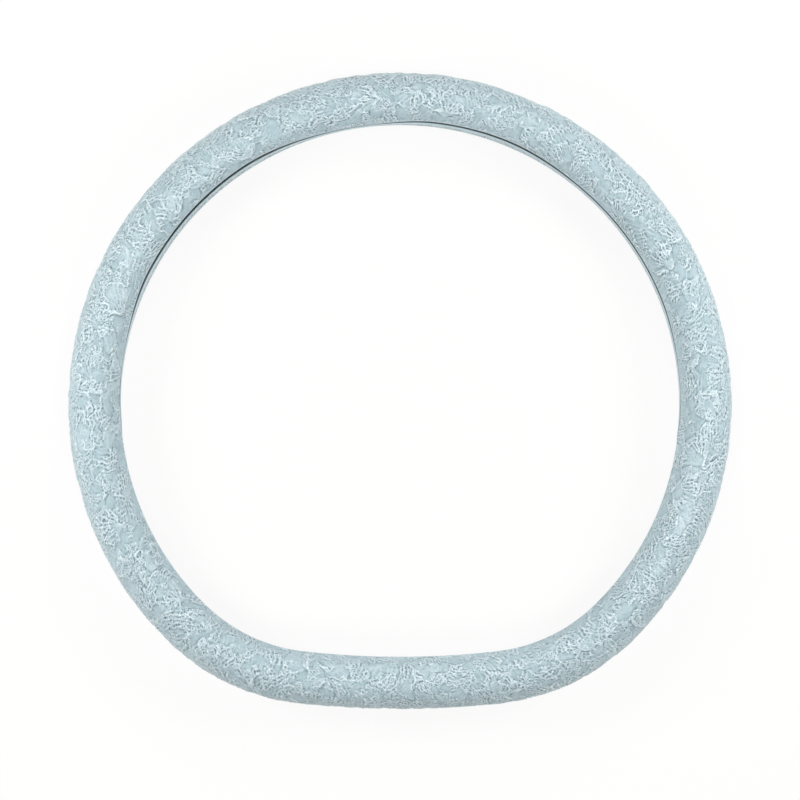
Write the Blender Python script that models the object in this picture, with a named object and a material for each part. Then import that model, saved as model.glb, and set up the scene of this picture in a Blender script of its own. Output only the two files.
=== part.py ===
"""Lace steering wheel cover for a D-shaped rim, lying flat on its back.

Metres, +Z up. The driver's side faces up, twelve o'clock is +Y and the flat run is at -Y.
The origin is under the middle of the cover's box, on the surface that it lies on.

The cover is a padded strip of lace-faced satin, wrapped round a rubber lining and turned in over
the lining's two edges. Together they make a C-shaped section whose slit runs round the inside of
the ring. The wheel's rim is pressed in through that slit.
"""

import math
import random

import bmesh
import bpy
from mathutils import Vector
from mathutils.geometry import delaunay_2d_cdt

# Centre line of the rim, made of arcs that meet without a kink: the flat run lies FLAT_RISE inside
# the full circle
RIM_RADIUS = 0.175
FLAT_RISE = 0.0154
FLAT_RADIUS = 0.500
CORNER_RADIUS = 0.110

# Section of the sleeve, over the plain satin
SECTION_WIDTH = 0.0294
SECTION_HEIGHT = 0.034
REST_STRIP_WIDTH = 0.006

# Layers, from the outside in
LACE_HEIGHT = 0.0010
SATIN_THICKNESS = 0.0012
LINING_THICKNESS = 0.0016
LAYER_CLEARANCE = 0.0003

# Turned-in edges
HEM_DEPTH = 0.008
EDGE_ROUNDING = 0.0007

# The slit round the inside: degrees anticlockwise from three o'clock, then how far the slit leans
# from the ring's inner line towards the driver in degrees of the section, then its width
SLIT_OPEN = 0.0080
SLIT_CLOSED = 0.0014
SLIT_RIGHT = 0.0019
SLIT_LEFT = 0.0023
SLIT_STOPS = (
    (-12, -6, SLIT_OPEN),
    (3, 11, SLIT_CLOSED),
    (24, 20, SLIT_RIGHT),
    (48, 20, SLIT_RIGHT),
    (68, 30, SLIT_RIGHT),
    (82, 28, SLIT_RIGHT),
    (98, 12, SLIT_CLOSED),
    (124, 30, SLIT_LEFT),
    (152, 29, SLIT_LEFT),
    (170, 12, SLIT_CLOSED),
    (192, -6, SLIT_OPEN),
)

# Raised lace motifs, each drawn inside a disc: the fan's, flower's and leaf's sizes are shares of
# the disc's radius, and HOLLOW_HEIGHT is a share of LACE_HEIGHT
MOTIF_SEED = 7
MOTIF_DRAWS = 4000
MOTIF_COUNT = 92
MOTIF_RADIUS = (0.0092, 0.0112)
MOTIF_SPACING = 0.0008
DRIVER_SIDE = 0.85
EDGE_SHARE = 0.07
HOLLOW_HEIGHT = 0.3
FAN_RIBS = 5
FAN_SPREAD = math.radians(120)
FAN_ROOT = 0.75
FAN_RIB_STEPS = (0.36, 0.66, 1 - EDGE_SHARE)
FAN_HOLLOW = 0.86
FAN_SIDE = 0.5
PETALS = 5
PETAL_HALF_ANGLE = math.radians(17)
PETAL_REACH = 0.98
PETAL_MIDDLE = 0.5
PETAL_HOLLOW = 0.58
LEAF_REACH = 0.96
LEAF_BOW = 0.5
LEAF_WIDTHS = ((0.16, 0.26), (0.38, 0.44), (0.62, 0.44), (0.84, 0.26))

# How finely the surfaces are divided
STATIONS = 72
FRONT_ROWS = 13
REAR_ROWS = 5
WALL_ROWS = 8
MOTIF_CLEARING = 1.08
MERGE_DISTANCE = 0.00002
SHARP_ANGLE = math.radians(40)

COVER_NAME = "lace_steering_wheel_cover"
SATIN_COLOUR = (0.468, 0.584, 0.617, 1.0)
SATIN_ROUGHNESS = 0.45
LINING_COLOUR = (0.020, 0.028, 0.030, 1.0)
LINING_ROUGHNESS = 0.8

HALF_WIDTH = SECTION_WIDTH / 2
HALF_HEIGHT = SECTION_HEIGHT / 2
REST_HALF_ANGLE = math.asin(REST_STRIP_WIDTH / SECTION_WIDTH)
CENTRE_HEIGHT = HALF_HEIGHT * math.cos(REST_HALF_ANGLE)
MEAN_RADIUS = (HALF_WIDTH + HALF_HEIGHT) / 2
LINING_INSET = SATIN_THICKNESS + LAYER_CLEARANCE
LIP_THICKNESS = 2 * SATIN_THICKNESS + 2 * LAYER_CLEARANCE + LINING_THICKNESS

# Arcs of the centre line: the angles are measured from straight down
FLAT_DEPTH = RIM_RADIUS - FLAT_RISE
FLAT_CENTRE_Y = FLAT_RADIUS - FLAT_DEPTH
ROUND_TO_CORNER = RIM_RADIUS - CORNER_RADIUS
FLAT_TO_CORNER = FLAT_RADIUS - CORNER_RADIUS
CORNER_Y = (ROUND_TO_CORNER**2 - FLAT_TO_CORNER**2 + FLAT_CENTRE_Y**2) / (2 * FLAT_CENTRE_Y)
CORNER_X = math.sqrt(ROUND_TO_CORNER**2 - CORNER_Y**2)
FLAT_END = math.atan2(CORNER_X, FLAT_CENTRE_Y - CORNER_Y)
ROUND_START = math.atan2(CORNER_X, -CORNER_Y)
FLAT_LENGTH = FLAT_RADIUS * FLAT_END
CORNER_LENGTH = CORNER_RADIUS * (ROUND_START - FLAT_END)
ROUND_LENGTH = RIM_RADIUS * (math.pi - ROUND_START)
RIM_LENGTH = 2 * (FLAT_LENGTH + CORNER_LENGTH + ROUND_LENGTH)

# The ring's middle lies half way between twelve o'clock and the flat run
SHIFT_Y = (FLAT_DEPTH - RIM_RADIUS) / 2

# The flat strip of satin, from the driver-side edge to the rear edge
LIP_ANGLE = math.radians(4)
STRIP_START = 1.5 * math.pi - REST_HALF_ANGLE
STRIP_END = 1.5 * math.pi + REST_HALF_ANGLE
SATIN_WIDTH = MEAN_RADIUS * 2 * (math.pi - LIP_ANGLE)
REST_START = MEAN_RADIUS * (STRIP_START - LIP_ANGLE)
REST_END = MEAN_RADIUS * (STRIP_END - LIP_ANGLE)


def rim_frame(distance):
    """Centre-line point and outward direction, going anticlockwise from the flat run's middle."""
    distance = distance % RIM_LENGTH
    side = 1
    if distance > RIM_LENGTH / 2:
        distance = RIM_LENGTH - distance
        side = -1
    if distance < FLAT_LENGTH:
        turn = distance / FLAT_RADIUS
        centre_x, centre_y, radius = 0.0, FLAT_CENTRE_Y, FLAT_RADIUS
    elif distance < FLAT_LENGTH + CORNER_LENGTH:
        turn = FLAT_END + (distance - FLAT_LENGTH) / CORNER_RADIUS
        centre_x, centre_y, radius = CORNER_X, CORNER_Y, CORNER_RADIUS
    else:
        turn = ROUND_START + (distance - FLAT_LENGTH - CORNER_LENGTH) / RIM_RADIUS
        centre_x, centre_y, radius = 0.0, 0.0, RIM_RADIUS
    outward = Vector((side * math.sin(turn), -math.cos(turn), 0.0))
    centre = Vector((side * centre_x, centre_y + SHIFT_Y, CENTRE_HEIGHT))
    return centre + radius * outward, outward, side * turn


def slit_at(turn):
    """How far the slit leans and half its width, as angles of the section."""
    clock = (math.degrees(turn) - 90) % 360
    first, last = SLIT_STOPS[0], SLIT_STOPS[-1]
    if clock > last[0] and clock < first[0] + 360:
        lean, width = first[1:]
    else:
        if clock > last[0]:
            clock -= 360
        after = next(stop for stop in SLIT_STOPS if stop[0] >= clock)
        before = SLIT_STOPS[max(SLIT_STOPS.index(after) - 1, 0)]
        span = max(after[0] - before[0], 1)
        share = (1 - math.cos(math.pi * (clock - before[0]) / span)) / 2
        lean = before[1] + share * (after[1] - before[1])
        width = before[2] + share * (after[2] - before[2])
    return math.radians(lean), width / 2 / MEAN_RADIUS


def place(distance, angle, depth):
    """Point of the section: 0 faces the ring's middle, a quarter turn faces the driver."""
    centre, outward, _ = rim_frame(distance)
    point = centre - (HALF_WIDTH - depth) * math.cos(angle) * outward
    point.z = max(point.z + (HALF_HEIGHT - depth) * math.sin(angle), 0.0)
    return point


def lips_at(distance):
    """Section angles of the driver-side lip and the rear lip."""
    lean, half_gap = slit_at(rim_frame(distance)[2])
    return lean + half_gap, 2 * math.pi + lean - half_gap


def lay_on(distance, across, height):
    """Point of the outer face from its place on the flat strip; the resting strip stays put."""
    front_lip, rear_lip = lips_at(distance)
    rounding = EDGE_ROUNDING / MEAN_RADIUS
    front_edge = front_lip + rounding
    rear_edge = rear_lip - rounding
    if across <= REST_START:
        angle = front_edge + (STRIP_START - front_edge) * across / REST_START
    elif across <= REST_END:
        share = (across - REST_START) / (REST_END - REST_START)
        angle = STRIP_START + (STRIP_END - STRIP_START) * share
    else:
        share = (across - REST_END) / (SATIN_WIDTH - REST_END)
        angle = STRIP_END + (rear_edge - STRIP_END) * share
    return place(distance, angle, -height)


def polar(radius, angle):
    return radius * math.cos(angle), radius * math.sin(angle)


def fan_motif():
    """Ribbed fan in a disc of radius 1: raised points, the lines that join them and the outline."""

    def on_rib(angle, share):
        reach = FAN_ROOT * math.cos(angle) + math.sqrt(1 - (FAN_ROOT * math.sin(angle)) ** 2)
        x, y = polar(reach * share, angle)
        return x - FAN_ROOT, y

    step = FAN_SPREAD / (FAN_RIBS - 1)
    points = [(-FAN_ROOT, 0.0, 1.0)]
    lines = []
    crest = []
    outline = [(-LEAF_REACH, 0.0), on_rib(-FAN_SPREAD / 2 - step, FAN_SIDE)]
    for rib in range(FAN_RIBS):
        angle = -FAN_SPREAD / 2 + rib * step
        before = 0
        for share in FAN_RIB_STEPS:
            points.append((*on_rib(angle, share), 1.0))
            lines.append((before, len(points) - 1))
            before = len(points) - 1
        crest.append(before)
        outline.append(on_rib(angle, 1.0))
        if rib < FAN_RIBS - 1:
            hollow = angle + step / 2
            points.append((*on_rib(hollow, FAN_HOLLOW - EDGE_SHARE), HOLLOW_HEIGHT))
            crest.append(len(points) - 1)
            lines.append((0, len(points) - 1))
            outline.append(on_rib(hollow, FAN_HOLLOW))
    outline.append(on_rib(FAN_SPREAD / 2 + step, FAN_SIDE))
    lines += zip(crest, crest[1:])
    return points, lines, outline


def flower_motif():
    """Open flower in a disc of radius 1."""
    points = [(0.0, 0.0, HOLLOW_HEIGHT)]
    lines = []
    crest = []
    outline = []
    for petal in range(PETALS):
        angle = 2 * math.pi * petal / PETALS
        between = angle + math.pi / PETALS
        points.append((*polar(PETAL_MIDDLE, angle), 1.0))
        lines.append((0, len(points) - 1))
        for turn, reach, height in (
            (angle - PETAL_HALF_ANGLE, PETAL_REACH, 1.0),
            (angle + PETAL_HALF_ANGLE, PETAL_REACH, 1.0),
            (between, PETAL_HOLLOW, HOLLOW_HEIGHT),
        ):
            points.append((*polar(reach - EDGE_SHARE, turn), height))
            crest.append(len(points) - 1)
            outline.append(polar(reach, turn))
        lines.append((0, crest[-1]))
    lines += zip(crest, crest[1:] + crest[:1])
    return points, lines, outline


def leaf_motif():
    """Broad curved leaf in a disc of radius 1, with a raised edge and a sunken midrib."""
    midrib = []
    upper = []
    lower = []
    for share, half_width in LEAF_WIDTHS:
        x = LEAF_REACH * (2 * share - 1)
        bow = LEAF_BOW * (math.sin(math.pi * share) - 0.5)
        midrib.append((x, bow, HOLLOW_HEIGHT))
        upper.append((x, bow + half_width))
        lower.append((x, bow - half_width))
    tips = [(-LEAF_REACH, -LEAF_BOW / 2), (LEAF_REACH, -LEAF_BOW / 2)]
    outline = [tips[0], *lower, tips[1], *reversed(upper)]
    points = midrib + [(x * (1 - EDGE_SHARE), y * (1 - EDGE_SHARE), 1.0) for x, y in outline]
    count = len(midrib)
    crest = list(range(count, len(points)))
    lines = [(count, 0), *zip(range(count - 1), range(1, count)), (count - 1, 2 * count + 1)]
    lines += zip(crest, crest[1:] + crest[:1])
    return points, lines, outline


def scatter_motifs():
    """Motifs spread over the strip without touching, clear of its edges and the resting strip.

    The driver's side is filled first, because the lace shows there.
    """
    shapes = (fan_motif(), flower_motif(), fan_motif(), leaf_motif())
    draw = random.Random(MOTIF_SEED)
    placed = []
    for attempt in range(2 * MOTIF_DRAWS):
        widest = DRIVER_SIDE * REST_START if attempt < MOTIF_DRAWS else SATIN_WIDTH
        radius = draw.uniform(*MOTIF_RADIUS)
        distance = draw.uniform(0, RIM_LENGTH)
        across = draw.uniform(0, widest)
        facing = draw.uniform(0, 2 * math.pi)
        margin = radius + MOTIF_SPACING
        clear = (
            len(placed) < MOTIF_COUNT
            and margin < distance < RIM_LENGTH - margin
            and margin < across < SATIN_WIDTH - margin
            and not REST_START - margin < across < REST_END + margin
        )
        for other in placed:
            apart = math.hypot(distance - other[0], across - other[1])
            clear = clear and apart > radius + other[2] + MOTIF_SPACING
        if clear:
            shape = shapes[len(placed) % len(shapes)]
            placed.append((distance, across, radius, facing, shape))
    return placed


def lace_face():
    """Triangles of the flat strip: a plain grid with the motifs drawn into it."""
    motifs = scatter_motifs()
    flat = []
    heights = []
    edges = []

    def add(x, y, height):
        flat.append(Vector((x, y)))
        heights.append(height)
        return len(flat) - 1

    rows = [REST_START * row / FRONT_ROWS for row in range(FRONT_ROWS + 1)]
    rear_step = (SATIN_WIDTH - REST_END) / REAR_ROWS
    rows += [REST_END + rear_step * row for row in range(REAR_ROWS + 1)]
    fixed_rows = (rows[0], REST_START, REST_END, rows[-1])
    for across in rows:
        earlier = None
        for station in range(STATIONS + 1):
            distance = RIM_LENGTH * station / STATIONS
            covered = any(
                math.hypot(distance - motif[0], across - motif[1]) < MOTIF_CLEARING * motif[2]
                for motif in motifs
            )
            if covered:
                continue
            here = add(distance, across, 0.0)
            if across in fixed_rows and earlier is not None:
                edges.append((earlier, here))
            earlier = here

    for distance, across, radius, facing, (points, lines, outline) in motifs:
        def turned(x, y):
            along, sideways = polar(radius, facing)
            return distance + x * along - y * sideways, across + x * sideways + y * along

        first = len(flat)
        for x, y, share in points:
            add(*turned(x, y), share * LACE_HEIGHT)
        edges += [(first + start, first + end) for start, end in lines]
        ring = [add(*turned(x, y), 0.0) for x, y in outline]
        edges += zip(ring, ring[1:] + ring[:1])

    corners, _, faces, sources, _, _ = delaunay_2d_cdt(flat, edges, [], 0, MERGE_DISTANCE / 100)
    raised = [max((heights[source] for source in found), default=0.0) for found in sources]
    return corners, raised, faces


def section_loft(mesh, rows):
    """Skin between rows of (angle, depth) functions of the distance, all the way round the rim."""
    stations = [RIM_LENGTH * station / STATIONS for station in range(STATIONS)]
    rings = [[mesh.verts.new(place(d, *row(d))) for d in stations] for row in rows]
    for ring, following in zip(rings, rings[1:]):
        for station in range(STATIONS):
            after = (station + 1) % STATIONS
            mesh.faces.new((ring[station], ring[after], following[after], following[station]))
    return rings


def lip_row(from_front, along, depth):
    """Row at a length along the outer face from one of the two lips."""
    turn = along / MEAN_RADIUS

    def row(distance):
        front_lip, rear_lip = lips_at(distance)
        return (front_lip + turn if from_front else rear_lip - turn), depth

    return row


def between_row(share, depth):
    """Row at a share of the way from one hem's end to the other's."""
    turn = HEM_DEPTH / MEAN_RADIUS

    def row(distance):
        front_lip, rear_lip = lips_at(distance)
        start = front_lip + turn
        return start + share * (rear_lip - turn - start), depth

    return row


def wall_rows(depth):
    """Rows that the satin's back and both faces of the lining share, so that they nest."""
    rows = [lip_row(True, LINING_INSET, depth), lip_row(True, HEM_DEPTH, depth)]
    rows += [between_row(row / WALL_ROWS, depth) for row in range(1, WALL_ROWS)]
    rows += [lip_row(False, HEM_DEPTH, depth), lip_row(False, LINING_INSET, depth)]
    return rows


def hem_rows(from_front):
    """Turned-in edge, from the outer face round the lip to the bottom of the pocket."""
    hidden_depth = LIP_THICKNESS - SATIN_THICKNESS
    stations = (
        (EDGE_ROUNDING, 0.0),
        (0.0, EDGE_ROUNDING),
        (0.0, LIP_THICKNESS - EDGE_ROUNDING),
        (EDGE_ROUNDING, LIP_THICKNESS),
        (HEM_DEPTH, LIP_THICKNESS),
        (HEM_DEPTH, hidden_depth),
        (LINING_INSET, hidden_depth),
        (SATIN_THICKNESS, hidden_depth),
        (SATIN_THICKNESS, SATIN_THICKNESS),
    )
    return [lip_row(from_front, along, depth) for along, depth in stations]


def finish_mesh(name, mesh, colour, roughness, collection):
    """Object from a built mesh, with its normals out, smooth shading and its own material."""
    bmesh.ops.recalc_face_normals(mesh, faces=mesh.faces)
    data = bpy.data.meshes.new(name)
    mesh.to_mesh(data)
    mesh.free()
    data.shade_smooth()
    data.set_sharp_from_angle(angle=SHARP_ANGLE)
    material = bpy.data.materials.new(name)
    material.use_nodes = True
    shader = material.node_tree.nodes["Principled BSDF"]
    shader.inputs["Base Color"].default_value = colour
    shader.inputs["Roughness"].default_value = roughness
    shader.inputs["Metallic"].default_value = 0.0
    data.materials.append(material)
    piece = bpy.data.objects.new(name, data)
    collection.objects.link(piece)
    return piece


def make_lace_sleeve(collection):
    """Lace-faced satin, wrapped round the lining and turned in over both of its edges."""
    mesh = bmesh.new()
    corners, raised, faces = lace_face()
    outer = [
        mesh.verts.new(lay_on(corner.x, min(max(corner.y, 0.0), SATIN_WIDTH), height))
        for corner, height in zip(corners, raised)
    ]
    for face in faces:
        mesh.faces.new([outer[corner] for corner in face])
    rear_hem = list(reversed(hem_rows(False)))
    section_loft(mesh, hem_rows(True) + wall_rows(SATIN_THICKNESS) + rear_hem)
    bmesh.ops.remove_doubles(mesh, verts=mesh.verts, dist=MERGE_DISTANCE)
    finish_mesh("lace_sleeve", mesh, SATIN_COLOUR, SATIN_ROUGHNESS, collection)


def make_rubber_lining(collection):
    """Rubber ring inside the sleeve, with its two edges in the sleeve's turned-in pockets."""
    mesh = bmesh.new()
    outer_depth = SATIN_THICKNESS + LAYER_CLEARANCE
    rows = wall_rows(outer_depth)
    rows += reversed(wall_rows(outer_depth + LINING_THICKNESS))
    rows.append(rows[0])
    section_loft(mesh, rows)
    bmesh.ops.remove_doubles(mesh, verts=mesh.verts, dist=MERGE_DISTANCE)
    finish_mesh("rubber_lining", mesh, LINING_COLOUR, LINING_ROUGHNESS, collection)


def main():
    for thing in list(bpy.data.objects):
        bpy.data.objects.remove(thing, do_unlink=True)
    collection = bpy.data.collections.new(COVER_NAME)
    bpy.context.scene.collection.children.link(collection)
    make_lace_sleeve(collection)
    make_rubber_lining(collection)


main()
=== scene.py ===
import math
import random

import bpy
import numpy as np
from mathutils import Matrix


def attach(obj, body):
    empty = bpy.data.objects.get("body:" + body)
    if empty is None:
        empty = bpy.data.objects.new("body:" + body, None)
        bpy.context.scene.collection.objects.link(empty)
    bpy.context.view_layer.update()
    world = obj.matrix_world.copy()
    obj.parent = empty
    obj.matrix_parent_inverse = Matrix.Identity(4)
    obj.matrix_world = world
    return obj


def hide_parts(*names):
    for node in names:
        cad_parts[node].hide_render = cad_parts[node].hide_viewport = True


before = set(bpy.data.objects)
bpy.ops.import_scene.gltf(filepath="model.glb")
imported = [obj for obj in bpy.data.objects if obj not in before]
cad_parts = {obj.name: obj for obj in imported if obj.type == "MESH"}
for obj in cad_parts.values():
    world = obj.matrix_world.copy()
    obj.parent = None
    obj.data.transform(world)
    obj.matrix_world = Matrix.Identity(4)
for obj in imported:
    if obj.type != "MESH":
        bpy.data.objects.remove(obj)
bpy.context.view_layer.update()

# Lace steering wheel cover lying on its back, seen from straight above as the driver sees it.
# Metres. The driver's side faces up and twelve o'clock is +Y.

# Centre line of the rim and the section of the sleeve, as in the part's source
RIM_RADIUS = 0.175
FLAT_RISE = 0.0154
FLAT_RADIUS = 0.500
CORNER_RADIUS = 0.110
SECTION_WIDTH = 0.0294
SECTION_HEIGHT = 0.034
REST_STRIP_WIDTH = 0.006
SATIN_THICKNESS = 0.0012
LINING_THICKNESS = 0.0016
LAYER_CLEARANCE = 0.0003
HEM_DEPTH = 0.008
SLIT_OPEN = 0.0080
SLIT_CLOSED = 0.0014
SLIT_RIGHT = 0.0019
SLIT_LEFT = 0.0023

# Degrees from three o'clock, degrees that the slit leans to the driver, and its width
SLIT_STOPS = (
    (-12, -6, SLIT_OPEN),
    (3, 11, SLIT_CLOSED),
    (24, 20, SLIT_RIGHT),
    (48, 20, SLIT_RIGHT),
    (68, 30, SLIT_RIGHT),
    (82, 28, SLIT_RIGHT),
    (98, 12, SLIT_CLOSED),
    (124, 30, SLIT_LEFT),
    (152, 29, SLIT_LEFT),
    (170, 12, SLIT_CLOSED),
    (192, -6, SLIT_OPEN),
)

# Scatter of the large raised motifs, as in the part's source
MOTIF_SEED = 7
MOTIF_DRAWS = 4000
MOTIF_COUNT = 92
MOTIF_RADIUS = (0.0092, 0.0112)
MOTIF_SPACING = 0.0008
MOTIF_KINDS = ("fan", "flower", "fan", "leaf")
DRIVER_SIDE = 0.85

# How finely the sleeve is divided
STRETCHES = 6
STATION_STEP = 0.00050
FINE_STEP = 0.00046
REAR_STEP = 0.0011
FRONT_TURN = math.radians(205)
REAR_LIP_REACH = 0.010
CELL = 0.00025
THREAD_MARK_STEP = 0.6
LIP_ROUNDING = 0.0006
LIP_ROWS = 3
WALL_ROWS = 6
HEM_END_ROUNDING = 0.95
SHARP_EDGE = math.radians(75)
MILLIMETRES = 1000

# Grip ribs along the lining, as (shift in ribs, height) over one rib
LINING_STATIONS = 300
GRIP_RIBS = 24
RIB_PROFILE = ((0.3, 0.0), (0.15, 0.00045), (-0.15, 0.00045), (-0.3, 0.0))

# Stitches of the hems, as (place along the stitch, rise) from hole to hole
STITCH_PITCH = 0.0036
STITCH_LENGTH = 0.0030
STITCH_WIDTH = 0.0006
STITCH_INSET = 0.0065
STITCH_SIDES = 6
STITCH_COURSE = ((-0.5, 0.0), (-0.35, 0.7), (0.0, 1.0), (0.35, 0.7), (0.5, 0.0))
STITCH_RISE = 0.35
STITCH_ROUNDNESS = 0.3

# Heights of the lace over the satin
THREAD_HEIGHT = 0.00044
BODY_HEIGHT = 0.00016
NET_HEIGHT = 0.00010
CRINKLE_HEIGHT = 0.00010
STIPPLE_HEIGHT = 0.00007
PUFF_HEIGHT = 0.00005
SQUIGGLE_HEIGHT = 0.00010
ROLL_HEIGHT = 0.00045
PINCH_DEPTH = 0.00040
CREST_REACH = 0.0009
RELIEF_SOFTNESS = 0.00012

# Proportions of the motifs, each in a disc of radius 1
FAN_ROOT = 0.75
FAN_RIB_END = 0.93
FAN_SCALLOP = 0.07
FAN_TIERS = ((0.45, 0.7), (0.35, 0.55, 0.75), (0.6,), (0.5, 0.62, 0.86))
FAN_RIBS = (9, 13)
FAN_SPREADS = (108, 124)
FAN_BODY_TURN = 1.05
PETALS = 5
PETAL_MIDDLE = 0.56
PETAL_SWELL = 0.42
PETAL_POWER = 0.6
PETAL_RINGS = ((1.0, 0.78), (1.0, 0.84, 0.68), (1.0, 0.7))
LEAF_REACH = 0.96
LEAF_HALF = 0.47
LEAF_POWER = 0.65
LEAF_BOW = 0.5
LEAF_VEINS = (6, 9)
BUD_PETALS = (4, 7)
BUD_RINGS = (1.0, 0.6)
PLUME_RIBS = (6, 9)
COMB_TEETH = (9, 14)
SPRAY_BOW = 0.6
SPRAY_VEINS = (3, 5)

# Threads, as (width, share of the full height)
MAIN_THREAD = (0.00078, 1.0)
TENDRIL_THREAD = (0.00085, 0.9)
PINCH_THREAD = (0.0010, 1.0)
STROKE_WIDTHS = (0.00045, 0.00075)
STROKE_HEIGHTS = (0.35, 0.80)

# Smaller motifs, as (radii, draws, kinds, how far apart, thread width, thread height)
FILLERS = (
    ((0.0070, 0.0100), 2500, ("plume",), 0.72, 0.00072, 0.9),
    ((0.0042, 0.0068), 5000, ("fan", "plume", "leaf", "comb", "bud"), 0.80, 0.00062, 0.85),
    ((0.0018, 0.0034), 6000, ("bud", "spray", "comb"), 0.84, 0.00055, 0.7),
)

# Wandering lines, as (count, fewest and most steps, waver), and short strokes
TENDRILS = (170, (14, 40), 0.16)
PINCHES = (190, (3, 8), 0.07)
WANDER_STEP = 0.0011
WANDER_MARGIN = 0.002
BEND_MEMORY = 0.8
STROKES = 17000
STROKE_LENGTHS = (0.0020, 0.0060)
STROKE_MARGIN = 0.001
STROKE_BEND = 0.25
STROKE_JITTER = 0.10
STROKE_LEAN = 0.85

# Shortest and longest waves of each kind of unevenness
PATCH_WAVES = (0.009, 0.032)
LEAN_WAVES = (0.008, 0.022)
DRIFT_WAVES = (0.005, 0.020)
PINCH_DRIFT_WAVES = (0.003, 0.010)
FINE_CRINKLE_WAVES = (0.0010, 0.0024)
BROAD_CRINKLE_WAVES = (0.0020, 0.0055)
STIPPLE_WAVES = (0.0007, 0.0016)
PUFF_WAVES = (0.007, 0.022)
SQUIGGLE_WAVES = (0.0016, 0.0040)
CLUMP_WAVES = (0.009, 0.035)

# Patches of plain satin, which are commoner near the driver-side lip
PLAIN_LEVELS = (0.40, 0.80)
LIP_PATCHES = 0.6
LIP_PATCH_REACH = (0.010, 0.024)
PLAIN_THREAD_LOSS = 0.75
PLAIN_PINCH_LOSS = 0.6

# Net ground and the unevenness over it
DRIFT = 0.0005
NET_ALONG = 0.0017
NET_ACROSS = 0.0019
NET_LEVELS = (0.15, 0.55)
COVER_REACH = 0.0012
COVER_LEVELS = (0.12, 0.4)
BODY_GROUND_LOSS = 0.5
PLAIN_WEAVE = 0.15
FINE_CRINKLE = 0.8
BROAD_CRINKLE = 0.5
SQUIGGLE_WIDTH = 0.32

# Painted light on the lace, from painted shade at 0 in a crease to a painted highlight at 1 on a crest
CREST_MIDDLE = 0.5
CREST_GAIN = 0.425
CLUMP_GAIN = 0.10
COVER_GAIN = 0.06
STIPPLE_GAIN = 0.18
CLUMP_GLOW = 0.03
# Painted light value that marks turned-in fabric, painted dark as the shade inside the slit
PAINTED_SLIT_SHADE = -1.0

# Where the lace fades out near the lips, as distances from them, with the painted shade near the rear lip and
# the painted highlight along the lip edges
FRONT_CALM = (0.0, 0.002)
REAR_CALM = (0.004, 0.014)
# Share of the painted light kept at the rear lip, a painted shade that eases off away from it
REAR_PAINTED_SHADE_FACTOR = 0.75
GAPING_WIDTHS = (0.0030, 0.0065)
ROLL_REACH = (0.0008, 0.0032)
LIP_FADE_START = -0.0006
LIP_FADE_END = 0.0010
GAPING_FADE_LOSS = 0.0006
# Painted highlight along the lip edges, dimmed as painted shade where the slit gapes
LIP_HIGHLIGHT_BAND = (0.0003, 0.0011)
LIP_PAINTED_HIGHLIGHT = 0.72
LIP_HIGHLIGHT_GAPING_LOSS = 0.57

# Colours
SATIN_DARK = (0.355, 0.484, 0.530, 1.0)
SATIN_LIGHT = (0.420, 0.548, 0.592, 1.0)
# Painted shade for creases, and painted highlights for crests from dim to bright
PAINTED_CREASE_SHADE = (0.082, 0.145, 0.167, 1.0)
PAINTED_HIGHLIGHT_DIM = (0.660, 0.780, 0.818, 1.0)
PAINTED_HIGHLIGHT_BRIGHT = (0.920, 0.975, 0.990, 1.0)
# Dark colour painted on the turned-in fabric as the shade inside the slit
SLIT_SHADE_COLOUR = (0.095, 0.128, 0.137, 1.0)
RUBBER_DARK = (0.012, 0.020, 0.022, 1.0)
RUBBER_LIGHT = (0.032, 0.044, 0.047, 1.0)
FLOOR_PALE = (0.84, 0.84, 0.83, 1.0)
FLOOR_GLOW = (0.992, 0.994, 0.988, 1.0)
FLOOR_GLOW_SHARE = 0.90
# Where the painted crease shade ends and the painted crest highlight starts
CREASE_SHADE_END = 0.45
CREST_HIGHLIGHT_START = 0.5

# Stage
FLOOR_SIZE = 6.0
FLOOR_HEIGHT = -0.0002
CAMERA_LENS = 250
CAMERA_HEIGHT = 3.203
CAMERA_SHIFT_Y = -0.0114
WORLD_STRENGTH = 0.225
SOFT_BOX_SIZE = 0.24
SOFT_BOXES = (
    ("left_box", (-0.57, 0.05, 0.37), 2.70),
    ("right_box", (0.57, 0.08, 0.37), 2.55),
    ("top_box", (0.06, 0.56, 0.42), 2.00),
    ("low_box", (0.0, -0.47, 0.50), 1.65),
)

# Sizes that follow from the ones above
HALF_WIDTH = SECTION_WIDTH / 2
HALF_HEIGHT = SECTION_HEIGHT / 2
REST_HALF_ANGLE = math.asin(REST_STRIP_WIDTH / SECTION_WIDTH)
CENTRE_HEIGHT = HALF_HEIGHT * math.cos(REST_HALF_ANGLE)
MEAN_RADIUS = (HALF_WIDTH + HALF_HEIGHT) / 2
LINING_INSET = SATIN_THICKNESS + LAYER_CLEARANCE
LIP_THICKNESS = 2 * SATIN_THICKNESS + 2 * LAYER_CLEARANCE + LINING_THICKNESS
FLAT_DEPTH = RIM_RADIUS - FLAT_RISE
FLAT_CENTRE_Y = FLAT_RADIUS - FLAT_DEPTH
ROUND_TO_CORNER = RIM_RADIUS - CORNER_RADIUS
FLAT_TO_CORNER = FLAT_RADIUS - CORNER_RADIUS
CORNER_Y = (ROUND_TO_CORNER**2 - FLAT_TO_CORNER**2 + FLAT_CENTRE_Y**2) / (2 * FLAT_CENTRE_Y)
CORNER_X = math.sqrt(ROUND_TO_CORNER**2 - CORNER_Y**2)
FLAT_END = math.atan2(CORNER_X, FLAT_CENTRE_Y - CORNER_Y)
ROUND_START = math.atan2(CORNER_X, -CORNER_Y)
FLAT_LENGTH = FLAT_RADIUS * FLAT_END
CORNER_LENGTH = CORNER_RADIUS * (ROUND_START - FLAT_END)
ROUND_LENGTH = RIM_RADIUS * (math.pi - ROUND_START)
RIM_LENGTH = 2 * (FLAT_LENGTH + CORNER_LENGTH + ROUND_LENGTH)
SHIFT_Y = (FLAT_DEPTH - RIM_RADIUS) / 2
LIP_ANGLE = math.radians(4)
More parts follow.
